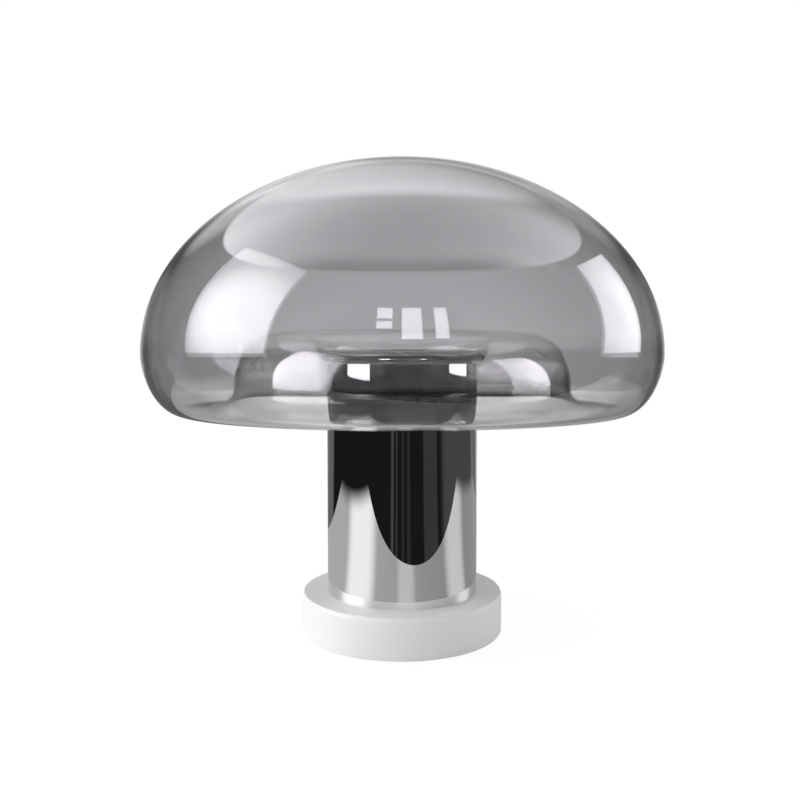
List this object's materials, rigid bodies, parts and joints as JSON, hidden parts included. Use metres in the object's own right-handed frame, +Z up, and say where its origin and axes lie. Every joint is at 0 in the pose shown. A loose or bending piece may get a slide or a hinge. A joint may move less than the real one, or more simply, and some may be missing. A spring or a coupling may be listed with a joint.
{
  "type": "mushroom table lamp",
  "caption": "Mushroom table lamp: blown smoked-glass bubble shade that lifts off a chromed tube stem on a round white stone foot.",
  "frame": {"origin": "on the table under the centre of the foot", "axes": "+Z up along the stem, +Y towards the cord inlet at the back, +X to the right seen from the front"},
  "size_m": [0.3, 0.3, 0.278],
  "materials": {
    "smoked_glass": "clear blown glass tinted a neutral smoke grey",
    "chrome_plate": "mirror-bright chrome plate",
    "white_stone": "plain white stone, polished to a gloss",
    "grey_rubber": "matt dark grey rubber",
    "white_rubber": "matt white rubber",
    "clear_silicone": "translucent silicone",
    "zinc_steel": "bright zinc-plated steel",
    "turned_steel": "nickel-plated steel with fine turning rings",
    "screw_steel": "bright plated steel",
    "brass": "bare machined brass",
    "bare_aluminium": "machined aluminium",
    "board_enamel": "white solder mask on an aluminium board",
    "led_phosphor": "yellow phosphor",
    "frosted_plastic": "frosted white polycarbonate",
    "white_plastic": "fine-grained white moulding",
    "ivory_plastic": "ivory nylon moulding",
    "brown_wire": "brown insulation",
    "blue_wire": "blue insulation",
    "red_wire": "red insulation",
    "black_wire": "black insulation"
  },
  "bodies": {
    "stand": {"base_disc": "white_stone", "base_cover_plate": "zinc_steel", "foot_pad": "grey_rubber", "cover_inserts": "brass", "cover_screws": "screw_steel", "cable_grommet": "white_rubber", "terminal_block": "ivory_plastic", "terminal_screws": "brass", "wire_bush": "grey_rubber", "tie_rod": "screw_steel", "base_washer": "zinc_steel", "base_lock_washer": "zinc_steel", "base_nut": "zinc_steel", "foot_plate": "zinc_steel", "foot_washer": "zinc_steel", "foot_nut": "zinc_steel", "stem_tube": "chrome_plate", "stem_cap": "turned_steel", "cap_washer": "zinc_steel", "cap_nut": "zinc_steel", "seat_gasket": "clear_silicone", "driver_bracket": "zinc_steel", "bracket_nuts": "zinc_steel", "led_driver": "white_plastic", "driver_screws": "screw_steel", "led_heatsink": "bare_aluminium", "heatsink_screws": "screw_steel", "led_board": "board_enamel", "led_chips": "led_phosphor", "led_lens": "frosted_plastic", "lens_bezel": "chrome_plate", "live_wire": "brown_wire", "neutral_wire": "blue_wire", "led_positive_wire": "red_wire", "led_negative_wire": "black_wire"},
    "shade": {"shade_glass": "smoked_glass"}
  },
  "joints": [
    {"name": "shade_lift", "type": "slide", "parent": "stand", "child": "shade", "axis": [0, 0, 1], "range_m": [0, 0.06]}
  ]
}
